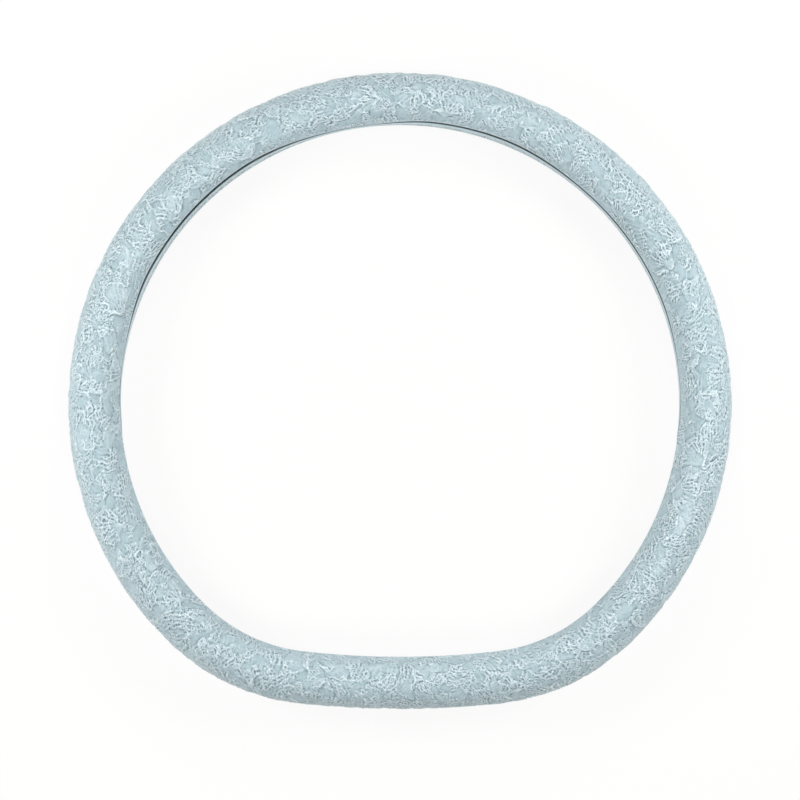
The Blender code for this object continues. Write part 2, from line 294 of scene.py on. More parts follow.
STRIP_START = 1.5 * math.pi - REST_HALF_ANGLE
STRIP_END = 1.5 * math.pi + REST_HALF_ANGLE
SATIN_WIDTH = MEAN_RADIUS * 2 * (math.pi - LIP_ANGLE)
REST_START = MEAN_RADIUS * (STRIP_START - LIP_ANGLE)
REST_END = MEAN_RADIUS * (STRIP_END - LIP_ANGLE)

COLUMNS = round(RIM_LENGTH / CELL)
ROWS = math.ceil(SATIN_WIDTH / CELL) + 1
WAVES_ACROSS = np.fft.fftfreq(ROWS, CELL)[:, None]
WAVES_ALONG = np.fft.rfftfreq(COLUMNS, CELL)[None, :]
NOISE = np.random.default_rng(11)
DRAW = random.Random(23)


# The ring and its section

def rim_frame(distance):
    """Centre-line points, outward directions and turns, going anticlockwise from the flat run."""
    distance = np.asarray(distance, dtype=float) % RIM_LENGTH
    side = np.where(distance > RIM_LENGTH / 2, -1.0, 1.0)
    distance = np.where(side < 0, RIM_LENGTH - distance, distance)
    past_corner = distance - FLAT_LENGTH - CORNER_LENGTH
    where = [distance < FLAT_LENGTH, past_corner < 0]
    corner_turn = FLAT_END + (distance - FLAT_LENGTH) / CORNER_RADIUS
    turn = np.select(where, [distance / FLAT_RADIUS, corner_turn], ROUND_START + past_corner / RIM_RADIUS)
    radius = np.select(where, [FLAT_RADIUS, CORNER_RADIUS], RIM_RADIUS)
    centre_x = np.select(where, [0.0, CORNER_X], 0.0)
    centre_y = np.select(where, [FLAT_CENTRE_Y, CORNER_Y], 0.0)
    outward = np.stack((side * np.sin(turn), -np.cos(turn)), -1)
    centre = np.stack((side * centre_x, centre_y + SHIFT_Y), -1) + radius[..., None] * outward
    return centre, outward, side * turn


def lips_at(distance):
    """Section angles of the driver-side lip and the rear lip."""
    clocks, leans, widths = (np.array(column, dtype=float) for column in zip(*SLIT_STOPS))
    clock = (np.degrees(rim_frame(distance)[2]) - 90) % 360
    clock = np.where(clock > clocks[0] + 360, clock - 360, clock)
    clock = np.clip(clock, clocks[0], clocks[-1])
    after = np.clip(np.searchsorted(clocks, clock), 1, len(clocks) - 1)
    share = (clock - clocks[after - 1]) / (clocks[after] - clocks[after - 1])
    share = (1 - np.cos(math.pi * share)) / 2
    lean = np.radians(leans[after - 1] + share * (leans[after] - leans[after - 1]))
    width = widths[after - 1] + share * (widths[after] - widths[after - 1])
    half_gap = width / 2 / MEAN_RADIUS
    return lean + half_gap, 2 * math.pi + lean - half_gap


def place(distance, angle, depth):
    """Points of the section: 0 faces the ring's middle, a quarter turn faces the driver."""
    centre, outward, _ = rim_frame(distance)
    reach = (HALF_WIDTH - depth) * np.cos(angle)
    flat = centre - reach[..., None] * outward
    height = np.maximum(CENTRE_HEIGHT + (HALF_HEIGHT - depth) * np.sin(angle), 0.0)
    return np.concatenate((flat, height[..., None]), axis=-1)


def strip_angle(distance, across, rounding):
    """Section angle of a place on the flat strip of satin; the resting strip stays put."""
    front_lip, rear_lip = lips_at(distance)
    front_edge = front_lip + rounding / MEAN_RADIUS
    rear_edge = rear_lip - rounding / MEAN_RADIUS
    front = front_edge + (STRIP_START - front_edge) * across / REST_START
    middle = STRIP_START + (STRIP_END - STRIP_START) * (across - REST_START) / (REST_END - REST_START)
    rear = STRIP_END + (rear_edge - STRIP_END) * (across - REST_END) / (SATIN_WIDTH - REST_END)
    return np.select([across <= REST_START, across <= REST_END], [front, middle], rear)


# The lace, drawn flat

def smooth_noise(shortest, longest):
    """Noise between two wavelengths over the flat strip, with a spread of 1; its two ends meet."""
    spectrum = np.fft.rfft2(NOISE.standard_normal((ROWS, COLUMNS)))
    frequency = np.hypot(WAVES_ACROSS, WAVES_ALONG)
    keep = np.exp(-((frequency * shortest) ** 2)) - np.exp(-((frequency * longest) ** 2))
    field = np.fft.irfft2(spectrum * keep, s=(ROWS, COLUMNS))
    return field / field.std()


def soften(field, width):
    """Field blurred over a width."""
    keep = np.exp(-2 * (math.pi * width) ** 2 * (WAVES_ACROSS**2 + WAVES_ALONG**2))
    return np.fft.irfft2(np.fft.rfft2(field) * keep, s=(ROWS, COLUMNS))


def step(values, low, high):
    """Smooth step from 0 at low to 1 at high."""
    share = np.clip((values - low) / (high - low), 0.0, 1.0)
    return share * share * (3 - 2 * share)


def polar(radius, angle):
    """Point, or row of points, at a radius and an angle."""
    return np.stack((radius * np.cos(angle), radius * np.sin(angle)), -1)


def arc(centre, radius, start, end, count=14):
    """Row of points round a centre."""
    angles = np.linspace(start, end, count)
    return np.asarray(centre) + polar(radius, angles)


def fan_lines(ribs, spread, tiers):
    """Ribbed fan in a disc of radius 1: lines as (points, width share, height share)."""
    rib, tier_line, scallop_line = (1.0, 1.0), (0.75, 0.8), (1.1, 1.0)
    side_line, root_ring = (1.2, 1.0), (0.9, 1.0)
    short_start, long_start, side_gap, root_radius = 0.14, 0.05, 0.6, 0.1
    lines = []

    def at(angle, share):
        reach = FAN_ROOT * math.cos(angle) + math.sqrt(1 - (FAN_ROOT * math.sin(angle)) ** 2)
        return np.array((reach * share * math.cos(angle) - FAN_ROOT, reach * share * math.sin(angle)))

    angles = np.linspace(-spread / 2, spread / 2, ribs)
    gap = angles[1] - angles[0]
    for number, angle in enumerate(angles):
        start = short_start if number % 2 else long_start
        lines.append((np.array([at(angle, share) for share in (start, 0.5, FAN_RIB_END)]), *rib))
    for tier in tiers:
        band = [at(angle, tier) for angle in np.linspace(angles[0], angles[-1], 22)]
        lines.append((np.array(band), *tier_line))
    for first in angles[:-1]:
        scallop = []
        for share in np.linspace(0, 1, 7):
            swell = FAN_RIB_END + FAN_SCALLOP * math.sin(math.pi * share)
            scallop.append(at(first + share * gap, swell))
        lines.append((np.array(scallop), *scallop_line))
    for side in (-1, 1):
        outer = angles[0 if side < 0 else -1] + side * gap * side_gap
        edge = [at(outer * (0.6 + 0.4 * share), share) for share in np.linspace(0.02, 0.8, 9)]
        lines.append((np.array(edge), *side_line))
    lines.append((arc((-FAN_ROOT - 0.08, 0.0), root_radius, 0, 2 * math.pi), *root_ring))
    return lines


def petal_edge(petals, angle):
    """How far a flower's petals reach at an angle."""
    return PETAL_MIDDLE + PETAL_SWELL * np.abs(np.cos(petals * angle / 2)) ** PETAL_POWER


def flower_lines(petals, rings):
    """Open flower in a disc of radius 1."""
    spoke_line, gap_line, heart_line, dot_line = (0.75, 0.8), (1.0, 0.9), (1.0, 1.0), (0.9, 0.9)
    heart, dots, dot_ring, dot_radius = 0.2, 6, 0.1, 0.01
    lines = []
    angles = np.linspace(0, 2 * math.pi, 12 * petals + 1)
    for ring in rings:
        width = 1.1 if ring == rings[0] else 0.8
        lines.append((polar(ring * petal_edge(petals, angles), angles), width, 1.0))
    for petal in range(petals):
        angle = 2 * math.pi * petal / petals
        for turn in (-0.55, -0.2, 0.2, 0.55):
            spoke = angle + turn * math.pi / petals
            lines.append((polar(np.array((0.27, 0.4, 0.5)), spoke), *spoke_line))
        between = angle + math.pi / petals
        lines.append((polar(np.array((0.2, 0.5)), between), *gap_line))
    lines.append((arc((0, 0), heart, 0, 2 * math.pi, 18), *heart_line))
    for dot in range(dots):
        centre = polar(dot_ring, math.pi * dot / 3)
        lines.append((arc(centre, dot_radius, 0, 2 * math.pi, 4), *dot_line))
    return lines


def leaf_lines(bow, veins):
    """Broad curved leaf in a disc of radius 1."""
    spine_line, vein_line = (1.1, 0.9), (0.75, 0.75)
    vein_lean, vein_reach = 0.12, 0.92
    lines = []
    shares = np.linspace(0, 1, 19)
    x = LEAF_REACH * (2 * shares - 1)
    spine = bow * (np.sin(math.pi * shares) - 0.5)
    half = LEAF_HALF * np.sin(math.pi * shares) ** LEAF_POWER
    for scale in (1.0, 0.72):
        upper = np.stack((x * (0.4 + 0.6 * scale), spine + scale * half), -1)
        lower = np.stack((x * (0.4 + 0.6 * scale), spine - scale * half), -1)
        lines.append((upper, scale, scale))
        lines.append((lower, scale, scale))
    lines.append((np.stack((x, spine), -1), *spine_line))
    for share in np.linspace(0.12, 0.82, veins):
        tip = min(share + vein_lean, 0.97)
        reach = vein_reach * LEAF_HALF * math.sin(math.pi * tip) ** LEAF_POWER
        start = (LEAF_REACH * (2 * share - 1), bow * (math.sin(math.pi * share) - 0.5))
        for side in (-1, 1):
            end_y = bow * (math.sin(math.pi * tip) - 0.5) + side * reach
            lines.append((np.array((start, (LEAF_REACH * (2 * tip - 1), end_y))), *vein_line))
    return lines


def comb_lines(teeth):
    """Ladder of short bars between two bowed cords, in a disc of radius 1."""
    low_middle, bow, bow_turn, narrowing, tooth = -0.42, 0.25, 1.4, 0.92, 0.5
    tooth_line, cord_line = (0.8, 0.9), (1.1, 1.0)
    lines = []
    for x in np.linspace(-1, 1, teeth):
        low = low_middle + bow * math.cos(x * bow_turn)
        lines.append((np.array(((x * narrowing, low), (x, low + tooth))), *tooth_line))
    x = np.linspace(-1, 1, 15)
    low = low_middle + bow * np.cos(x * bow_turn)
    lines.append((np.stack((x * narrowing, low), -1), *cord_line))
    lines.append((np.stack((x, low + tooth), -1), *cord_line))
    return lines


def plume_lines(ribs):
    """Nested bowed ribs, side by side, in a disc of radius 1."""
    outermost, bow, bow_shift = 0.85, 0.35, 0.12
    lines = []
    for side in np.linspace(-outermost, outermost, ribs):
        reach = 0.95 * math.sqrt(1 - side**2) + 0.05
        share = np.linspace(-1, 1, 9)
        bend = bow * (share * reach) ** 2 - bow_shift
        lines.append((np.stack((side + bend, share * reach), -1), 1.15, 1.0))
    return lines


def fan_body(u, v):
    """Share of the raised ground under a fan, from 0 outside to 1."""
    angle = np.arctan2(v, u + FAN_ROOT)
    reach = np.hypot(u + FAN_ROOT, v)
    edge = FAN_ROOT * np.cos(angle) + np.sqrt(np.maximum(1 - (FAN_ROOT * np.sin(angle)) ** 2, 0))
    return step(FAN_BODY_TURN - np.abs(angle), 0, 0.12) * step(0.98 - reach / edge, 0, 0.06)


def flower_body(u, v):
    """Share of the raised ground under a flower, from 0 outside to 1."""
    return step(petal_edge(PETALS, np.arctan2(v, u)) - np.hypot(u, v), 0, 0.08)


def leaf_body(u, v):
    """Share of the raised ground under a leaf, from 0 outside to 1."""
    share = np.clip(u / (2 * LEAF_REACH) + 0.5, 0, 1)
    half = LEAF_HALF * np.sin(math.pi * share) ** LEAF_POWER
    spine = LEAF_BOW * (np.sin(math.pi * share) - 0.5)
    return step(half - np.abs(v - spine), 0, 0.1)


def scatter_main_motifs():
    """The raised fans, flowers and leaves of the part's source, at the same places."""
    draw = random.Random(MOTIF_SEED)
    placed = []
    for attempt in range(2 * MOTIF_DRAWS):
        widest = DRIVER_SIDE * REST_START if attempt < MOTIF_DRAWS else SATIN_WIDTH
        radius = draw.uniform(*MOTIF_RADIUS)
        distance = draw.uniform(0, RIM_LENGTH)
        across = draw.uniform(0, widest)
        facing = draw.uniform(0, 2 * math.pi)
        margin = radius + MOTIF_SPACING
        clear = (
            len(placed) < MOTIF_COUNT
            and margin < distance < RIM_LENGTH - margin
            and margin < across < SATIN_WIDTH - margin
            and not REST_START - margin < across < REST_END + margin
        )
        for other in placed:
            apart = math.hypot(distance - other[0], across - other[1])
            clear = clear and apart > radius + other[2] + MOTIF_SPACING
        if clear:
            kind = MOTIF_KINDS[len(placed) % len(MOTIF_KINDS)]
            placed.append((distance, across, radius, facing, kind))
    return placed


def scatter_fillers(taken, plain, radii, draws, kinds, apart_share):
    """Smaller motifs in the room that is left, apart from the plain patches."""
    placed = []
    discs = np.array([motif[:3] for motif in taken])
    for _ in range(draws):
        radius = DRAW.uniform(*radii)
        distance = DRAW.uniform(0, RIM_LENGTH)
        across = DRAW.uniform(0, SATIN_WIDTH)
        facing = DRAW.uniform(0, 2 * math.pi)
        kind = DRAW.choice(kinds)
        row = min(int(across / CELL), ROWS - 1)
        if plain[row, int(distance / CELL) % COLUMNS] > 0.5:
            continue
        gap = np.abs(discs[:, 0] - distance)
        apart = np.hypot(np.minimum(gap, RIM_LENGTH - gap), discs[:, 1] - across)
        if np.all(apart > (discs[:, 2] + radius) * apart_share):
            placed.append((distance, across, radius, facing, kind))
            discs = np.concatenate((discs, ((distance, across, radius),)))
    return placed


def motif_drawing(kind):
    """Lines and raised body of one motif, with its own variation."""
    if kind == "fan":
        tiers = DRAW.choice(FAN_TIERS)
        ribs = DRAW.randint(*FAN_RIBS)
        return fan_lines(ribs, math.radians(DRAW.uniform(*FAN_SPREADS)), tiers), fan_body
    if kind == "flower":
        return flower_lines(PETALS, DRAW.choice(PETAL_RINGS)), flower_body
    if kind == "leaf":
        return leaf_lines(LEAF_BOW, DRAW.randint(*LEAF_VEINS)), leaf_body
    if kind == "bud":
        return flower_lines(DRAW.randint(*BUD_PETALS), BUD_RINGS), None
    if kind == "plume":
        return plume_lines(DRAW.randint(*PLUME_RIBS)), None
    if kind == "comb":
        return comb_lines(DRAW.randint(*COMB_TEETH)), None
    return leaf_lines(DRAW.uniform(-SPRAY_BOW, SPRAY_BOW), DRAW.randint(*SPRAY_VEINS)), None


def wandering_lines(count, steps, waver):
    """Long wandering lines, as points on the flat strip."""
    lines = []
    for _ in range(count):
        x = DRAW.uniform(0, RIM_LENGTH)
        at = np.array((x, DRAW.uniform(WANDER_MARGIN, SATIN_WIDTH - WANDER_MARGIN)))
        heading = DRAW.uniform(0, 2 * math.pi)
        bend = 0.0
        points = [at]
        for _ in range(DRAW.randint(*steps)):
            bend = BEND_MEMORY * bend + DRAW.gauss(0, waver)
            heading += bend
            at = at + WANDER_STEP * np.array((math.cos(heading), math.sin(heading)))
            points.append(at)
        lines.append(np.array(points))
    return lines


def side_by_side_strokes(count, plain):
    """Short strokes that lie side by side and mostly cross the strip, clear of the plain patches."""
    lean = smooth_noise(*LEAN_WAVES)
    shares = np.linspace(-0.5, 0.5, 5)
    lines = []
    for _ in range(count):
        x = DRAW.uniform(0, RIM_LENGTH)
        y = DRAW.uniform(STROKE_MARGIN, SATIN_WIDTH - STROKE_MARGIN)
        length = DRAW.uniform(*STROKE_LENGTHS)
        bend = DRAW.gauss(0, STROKE_BEND)
        jitter = DRAW.gauss(0, STROKE_JITTER)
        row, column = int(y / CELL), int(x / CELL) % COLUMNS
        if plain[row, column] > 0.5:
            continue
        heading = math.pi / 2 + STROKE_LEAN * lean[row, column] + jitter
        turned = heading + bend * shares
        steps = length / 4 * np.stack((np.cos(turned), np.sin(turned)), -1)
        lines.append(np.array((x, y)) + np.cumsum(steps, axis=0) - steps.sum(axis=0) / 2)
    return lines


class LaceSheet:
    """Heights over the flat strip, gathered from threads and raised bodies."""

    def __init__(self):
        self.samples = []
        self.body = np.zeros((ROWS, COLUMNS))

    def thread(self, points, width, height):
        """Thread along points on the flat strip."""
        points = np.asarray(points, dtype=float)
        steps = np.hypot(*np.diff(points, axis=0).T)
        along = np.concatenate(((0.0,), np.cumsum(steps)))
        count = max(int(along[-1] / (CELL * THREAD_MARK_STEP)), 2)
        marks = np.linspace(0, along[-1], count)
        x = np.interp(marks, along, points[:, 0])
        y = np.interp(marks, along, points[:, 1])
        self.samples.append(np.stack((x, y, np.full(count, width), np.full(count, height))))

    def motif(self, distance, across, radius, facing, kind, width, height):
        """One motif's threads, and its raised body if it has one."""
        lines, body = motif_drawing(kind)
        cosine, sine = math.cos(facing), math.sin(facing)
        for points, width_share, height_share in lines:
            x = distance + radius * (points[:, 0] * cosine - points[:, 1] * sine)
            y = across + radius * (points[:, 0] * sine + points[:, 1] * cosine)
            self.thread(np.stack((x, y), -1), width * width_share, height * height_share)
        if body is None:
            return
        reach = math.ceil(radius / CELL) + 2
        column, row = int(distance / CELL), int(across / CELL)
        columns = np.arange(column - reach, column + reach)
        rows = np.arange(max(row - reach, 0), min(row + reach, ROWS))
        along = columns[None, :] * CELL - distance
        up = rows[:, None] * CELL - across
        u = (along * cosine + up * sine) / radius
        v = (up * cosine - along * sine) / radius
        window = np.ix_(rows, columns % COLUMNS)
        self.body[window] = np.maximum(self.body[window], body(u, v))

    def drawn_threads(self, drift_x, drift_y):
        """Height of every thread, each one a half-round cord, shifted by a slow drift."""
        x, y, width, height = np.concatenate(self.samples, axis=1)
        row = np.clip((y / CELL).astype(int), 0, ROWS - 1)
        column = (x / CELL).astype(int) % COLUMNS
        x = x + drift_x[row, column]
        y = y + drift_y[row, column]
        row = np.floor(y / CELL).astype(int)
        column = np.floor(x / CELL).astype(int)
        field = np.zeros(ROWS * COLUMNS)
        reach = math.ceil(width.max() / 2 / CELL)
        for down in range(-reach, reach + 2):
            for right in range(-reach, reach + 2):
                apart = np.hypot((row + down) * CELL - y, (column + right) * CELL - x)
                tall = height * np.sqrt(np.maximum(1 - (2 * apart / width) ** 2, 0))
                inside = (row + down >= 0) & (row + down < ROWS) & (tall > 0)
                cells = (row + down)[inside] * COLUMNS + (column + right)[inside] % COLUMNS
                np.maximum.at(field, cells, tall[inside])
        return field.reshape(ROWS, COLUMNS)


def lace_threads(plain):
    """Sheet of all the raised threads and bodies, and sheet of the pinched creases."""
    placed = scatter_main_motifs()
    groups = [(placed, *MAIN_THREAD)]
    for radii, draws, kinds, apart_share, width, height in FILLERS:
        group = scatter_fillers(placed, plain, radii, draws, kinds, apart_share)
        groups.append((group, width, height))
        placed = placed + group
    sheet = LaceSheet()
    for group, width, height in groups:
        for motif in group:
            sheet.motif(*motif, width, height)
    for points in wandering_lines(*TENDRILS):
        sheet.thread(points, *TENDRIL_THREAD)
    for points in side_by_side_strokes(STROKES, plain):
        width = DRAW.uniform(*STROKE_WIDTHS)
        sheet.thread(points, width, DRAW.uniform(*STROKE_HEIGHTS))
    pinches = LaceSheet()
    for points in wandering_lines(*PINCHES):
        pinches.thread(points, *PINCH_THREAD)
    return sheet, pinches


def net_ground():
    """Net of slanting threads over the flat strip; its two ends meet."""
    along = np.arange(COLUMNS)[None, :] * CELL
    across = np.arange(ROWS)[:, None] * CELL
    turns = round(RIM_LENGTH / NET_ALONG)
    rising = np.abs(np.sin(math.pi * (turns * along / RIM_LENGTH + across / NET_ACROSS)))
    falling = np.abs(np.sin(math.pi * (turns * along / RIM_LENGTH - across / NET_ACROSS)))
    return 1 - step(np.minimum(rising, falling), *NET_LEVELS)


def lace_relief():
    """Height over the satin in metres, and painted light from 0, painted crease shade, to 1, painted crest
    highlight, over the flat strip.
    """
    across = np.arange(ROWS)[:, None] * CELL
    patches = smooth_noise(*PATCH_WAVES) + LIP_PATCHES * (1 - step(across, *LIP_PATCH_REACH))
    plain = step(patches, *PLAIN_LEVELS)
    sheet, pinches = lace_threads(plain)
    threads = sheet.drawn_threads(DRIFT * smooth_noise(*DRIFT_WAVES), DRIFT * smooth_noise(*DRIFT_WAVES))
    threads *= 1 - PLAIN_THREAD_LOSS * plain
    drifts = [DRIFT * smooth_noise(*PINCH_DRIFT_WAVES) for _ in range(2)]
    pinched = pinches.drawn_threads(*drifts)
    threaded = soften((threads > 0.2).astype(float), COVER_REACH)
    covered = np.maximum(step(threaded, *COVER_LEVELS), sheet.body)
    ground = (1 - plain) * (1 - BODY_GROUND_LOSS * sheet.body)
    fine_crinkle = FINE_CRINKLE * smooth_noise(*FINE_CRINKLE_WAVES)
    crinkle = fine_crinkle + BROAD_CRINKLE * smooth_noise(*BROAD_CRINKLE_WAVES)
    stipple = smooth_noise(*STIPPLE_WAVES)
    puff = smooth_noise(*PUFF_WAVES)
    squiggle = np.exp(-((smooth_noise(*SQUIGGLE_WAVES) / SQUIGGLE_WIDTH) ** 2))
    clump = smooth_noise(*CLUMP_WAVES)
    weave = PLAIN_WEAVE + (1 - PLAIN_WEAVE) * ground
    relief = THREAD_HEIGHT * threads + BODY_HEIGHT * sheet.body
    relief += (NET_HEIGHT * net_ground() + SQUIGGLE_HEIGHT * squiggle) * ground
    relief += (CRINKLE_HEIGHT * crinkle + STIPPLE_HEIGHT * stipple) * weave + PUFF_HEIGHT * puff
    relief -= PINCH_DEPTH * pinched * (1 - PLAIN_PINCH_LOSS * plain)
    # Painted light from the relief: creases painted dark as shade, proud threads painted light as highlights,
    # with painted glints in clumps and stipple
    proud = relief - soften(relief, CREST_REACH)
    gain = CREST_GAIN + CLUMP_GAIN * clump
    painted_light = CREST_MIDDLE + gain * proud / proud.std() + COVER_GAIN * (covered - CREST_MIDDLE)
    painted_light += STIPPLE_GAIN * stipple * weave + CLUMP_GLOW * clump
    return soften(relief, RELIEF_SOFTNESS), np.clip(painted_light, 0, 1)


def read_field(field, distance, across):
    """Field's values between its cells."""
    row = np.clip(across / CELL, 0, ROWS - 1.001)
    column = distance / CELL
    low_row = np.floor(row).astype(int)
    low_column = np.floor(column).astype(int)
    row_share = row - low_row
    column_share = column - low_column
    left, right = low_column % COLUMNS, (low_column + 1) % COLUMNS
    low = field[low_row, left] * (1 - column_share) + field[low_row, right] * column_share
    high = field[low_row + 1, left] * (1 - column_share) + field[low_row + 1, right] * column_share
    return low * (1 - row_share) + high * row_share


# Meshes

def tube_mesh(name, rings, strip, closed_along):
    """Mesh of rings of points (row, station, xyz) joined row to row, the last to the first.

    strip holds three values for each point: millimetres along, millimetres across, and the painted light
    there, from painted crease shade at 0 to painted crest highlight at 1, which is negative on turned-in
    fabric, painted dark as slit shade.
    """
    rows, stations = rings.shape[:2]
    row = np.arange(rows)[:, None]
    station = np.arange(stations if closed_along else stations - 1)[None, :]
    here = row * stations
    following = (row + 1) % rows * stations
    after = (station + 1) % stations
    corners_of_quads = (here + station, here + after, following + after, following + station)
    quads = np.stack(corners_of_quads, axis=-1).reshape(-1, 4)
    corners = [quads.ravel()]
    sizes = [np.full(len(quads), 4)]
    if not closed_along:
        corners.append(np.arange(rows) * stations)
        corners.append((np.arange(rows) * stations + stations - 1)[::-1])
        sizes.append(np.array((rows, rows)))
    corners = np.concatenate(corners)
    sizes = np.concatenate(sizes)
    mesh = bpy.data.meshes.new(name)
    mesh.vertices.add(rows * stations)
    mesh.vertices.foreach_set("co", rings.reshape(-1).astype(np.float32))
    mesh.loops.add(len(corners))
    mesh.loops.foreach_set("vertex_index", corners.astype(np.int32))
    mesh.polygons.add(len(sizes))
    starts = np.concatenate(((0,), np.cumsum(sizes)[:-1]))
    mesh.polygons.foreach_set("loop_start", starts.astype(np.int32))
    mesh.update(calc_edges=True)
    mesh.validate()
    mesh.shade_smooth()
    mesh.set_sharp_from_angle(angle=SHARP_EDGE)
    if strip is not None:
        values = mesh.attributes.new("strip", "FLOAT_VECTOR", "POINT")
        values.data.foreach_set("vector", strip.reshape(-1).astype(np.float32))
    piece = bpy.data.objects.new(name, mesh)
    bpy.context.scene.collection.objects.link(piece)
    return piece


def quarter(start, end, rows):
    """Quarter circle between two corners, as (along, depth) pairs."""
    return [
        (
            start[0] + (end[0] - start[0]) * (1 - math.cos(math.pi / 2 * share)),
            start[1] + (end[1] - start[1]) * math.sin(math.pi / 2 * share),
        )
        for share in np.linspace(0, 1, rows + 1)
    ]


def hem_profile():
    """The lip and the turned-in hem, as lengths from the lip's tip and depths, from the face in."""
    round_in = quarter((0.0, LIP_ROUNDING), (LIP_ROUNDING, 0.0), LIP_ROWS)
    face = list(reversed(round_in))[1:]
    back = [(along, LIP_THICKNESS - depth) for along, depth in round_in]
    hidden = LIP_THICKNESS - SATIN_THICKNESS
    end = [
        (HEM_DEPTH * HEM_END_ROUNDING, LIP_THICKNESS),
        (HEM_DEPTH, LIP_THICKNESS - 0.5 * SATIN_THICKNESS),
        (HEM_DEPTH * HEM_END_ROUNDING, hidden),
        (SATIN_THICKNESS, hidden),
        (SATIN_THICKNESS, SATIN_THICKNESS),
    ]
    return face + back + end


def outer_rows():
    """Places across the strip, close together where the driver sees them."""
    front_end = MEAN_RADIUS * FRONT_TURN
    rear_end = SATIN_WIDTH - REAR_LIP_REACH
    front = np.linspace(0, front_end, round(front_end / FINE_STEP) + 1)
    rear = np.linspace(front_end, rear_end, round((rear_end - front_end) / REAR_STEP) + 1)
    lip = np.linspace(rear_end, SATIN_WIDTH, round(REAR_LIP_REACH / FINE_STEP) + 1)
    return np.concatenate((front, rear[1:], lip[1:]))


def sleeve_face(relief, painted_light, distance, across, gaping, painted_lip_highlight):
    """Points of the laced face, row by row across the strip, and their strip values."""
    distance = np.broadcast_to(distance, (len(across), len(distance)))
    across = np.broadcast_to(across[:, None], distance.shape)
    from_rear = SATIN_WIDTH - across
    edge = np.minimum(across, from_rear)
    height = read_field(relief, distance, across)
    rough = step(across, *FRONT_CALM) * step(from_rear, *REAR_CALM)
    height = relief.mean() + rough * (height - relief.mean())
    height += ROLL_HEIGHT * gaping * (1 - step(edge, *ROLL_REACH))
    height *= step(edge, LIP_FADE_START, LIP_FADE_END - GAPING_FADE_LOSS * gaping)
    points = place(distance, strip_angle(distance, across, LIP_ROUNDING), -height)
    lace = read_field(painted_light, distance, across)
    # Painted shade near the rear lip
    lace = lace * (REAR_PAINTED_SHADE_FACTOR + (1 - REAR_PAINTED_SHADE_FACTOR) * step(from_rear, *REAR_CALM))
    # Painted highlight along the lip edges
    lace = lace + (painted_lip_highlight - lace) * (1 - step(edge, *LIP_HIGHLIGHT_BAND))
    return points, np.stack((distance * MILLIMETRES, across * MILLIMETRES, lace), -1)


def sleeve_back(distance, painted_lip_highlight):
    """Rows of the two hems and of the hidden side between them, as rings and strip values."""
    front_lip, rear_lip = lips_at(distance)
    start = front_lip + LINING_INSET / MEAN_RADIUS
    end = rear_lip - LINING_INSET / MEAN_RADIUS
    hem = hem_profile()

    # Painted highlight fading over the lip's rounding, then painted dark shade on the turned-in hem beyond it
    def shade(depth):
        return painted_lip_highlight * (1 - depth / LIP_ROUNDING) if depth < LIP_ROUNDING else PAINTED_SLIT_SHADE

    rows = []
    for along, depth in hem:
        across = SATIN_WIDTH * MILLIMETRES + depth * MILLIMETRES
        rows.append((rear_lip - along / MEAN_RADIUS, depth, shade(depth), across))
    # The hidden side between the hems is painted dark as slit shade too
    for row in range(1, WALL_ROWS):
        wall = 1 - row / WALL_ROWS
        rows.append((start + wall * (end - start), SATIN_THICKNESS, PAINTED_SLIT_SHADE, -1.0))
    for along, depth in reversed(hem):
        rows.append((front_lip + along / MEAN_RADIUS, depth, shade(depth), -depth * MILLIMETRES))
    rings = []
    strip = []
    for angle, depth, painted_light, across in rows:
        rings.append(place(distance, angle, np.full(len(distance), depth)))
        across = np.full(len(distance), across)
        painted_light = np.broadcast_to(painted_light, distance.shape)
        strip.append(np.stack((distance * MILLIMETRES, across, painted_light), -1))
    return np.array(rings), np.array(strip)


def make_sleeve(material):
    """The lace-faced satin in stretches, each a thin closed shell from hem to hem."""
    relief, painted_light = lace_relief()
    steps = round(RIM_LENGTH / STRETCHES / STATION_STEP)
    across = outer_rows()
    for stretch in range(STRETCHES):
        distance = (stretch + np.arange(steps + 1) / steps) * RIM_LENGTH / STRETCHES
        front_lip, rear_lip = lips_at(distance)
        parted = (rear_lip - front_lip - 2 * math.pi) * -MEAN_RADIUS
        gaping = step(parted, *GAPING_WIDTHS)
        # Painted highlight on the lips, less of it as painted shade where the slit gapes
        painted_lip_highlight = LIP_PAINTED_HIGHLIGHT - LIP_HIGHLIGHT_GAPING_LOSS * gaping
        face, face_strip = sleeve_face(relief, painted_light, distance, across, gaping, painted_lip_highlight)
        back, back_strip = sleeve_back(distance, painted_lip_highlight)
        rings = np.concatenate((face, back))
        strip = np.concatenate((face_strip, back_strip))
        piece = tube_mesh(f"lace_sleeve_{stretch + 1}", rings, strip, closed_along=False)
        piece.data.materials.append(material)
        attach(piece, "root")
        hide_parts("lace_sleeve")


def make_lining(material):
    """The rubber ring, with grip ribs along its channel side."""
    distance = np.arange(LINING_STATIONS) * RIM_LENGTH / LINING_STATIONS
    front_lip, rear_lip = lips_at(distance)
    outer_depth = LINING_INSET
    inner_depth = outer_depth + LINING_THICKNESS
    pocket = HEM_DEPTH / MEAN_RADIUS
    edge = LINING_INSET / MEAN_RADIUS
    rows = [(0.0, edge, outer_depth)]
    rows += [(wall / WALL_ROWS, pocket, outer_depth) for wall in range(WALL_ROWS + 1)]
    rows += [(1.0, edge, outer_depth), (1.0, edge, inner_depth)]
    for rib in range(GRIP_RIBS, -1, -1):
        for shift, height in RIB_PROFILE:
            share = min(max((rib + shift) / GRIP_RIBS, 0.0), 1.0)
            rows.append((share, pocket, inner_depth + height))
    rows.append((0.0, edge, inner_depth))
    rings = []
    for share, inset, depth in rows:
        angle = front_lip + inset + share * (rear_lip - front_lip - 2 * inset)
        rings.append(place(distance, angle, np.full(len(distance), depth)))
    piece = tube_mesh("rubber_lining_grip", np.array(rings), None, closed_along=True)
    piece.data.materials.append(material)
    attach(piece, "root")
    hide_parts("rubber_lining")


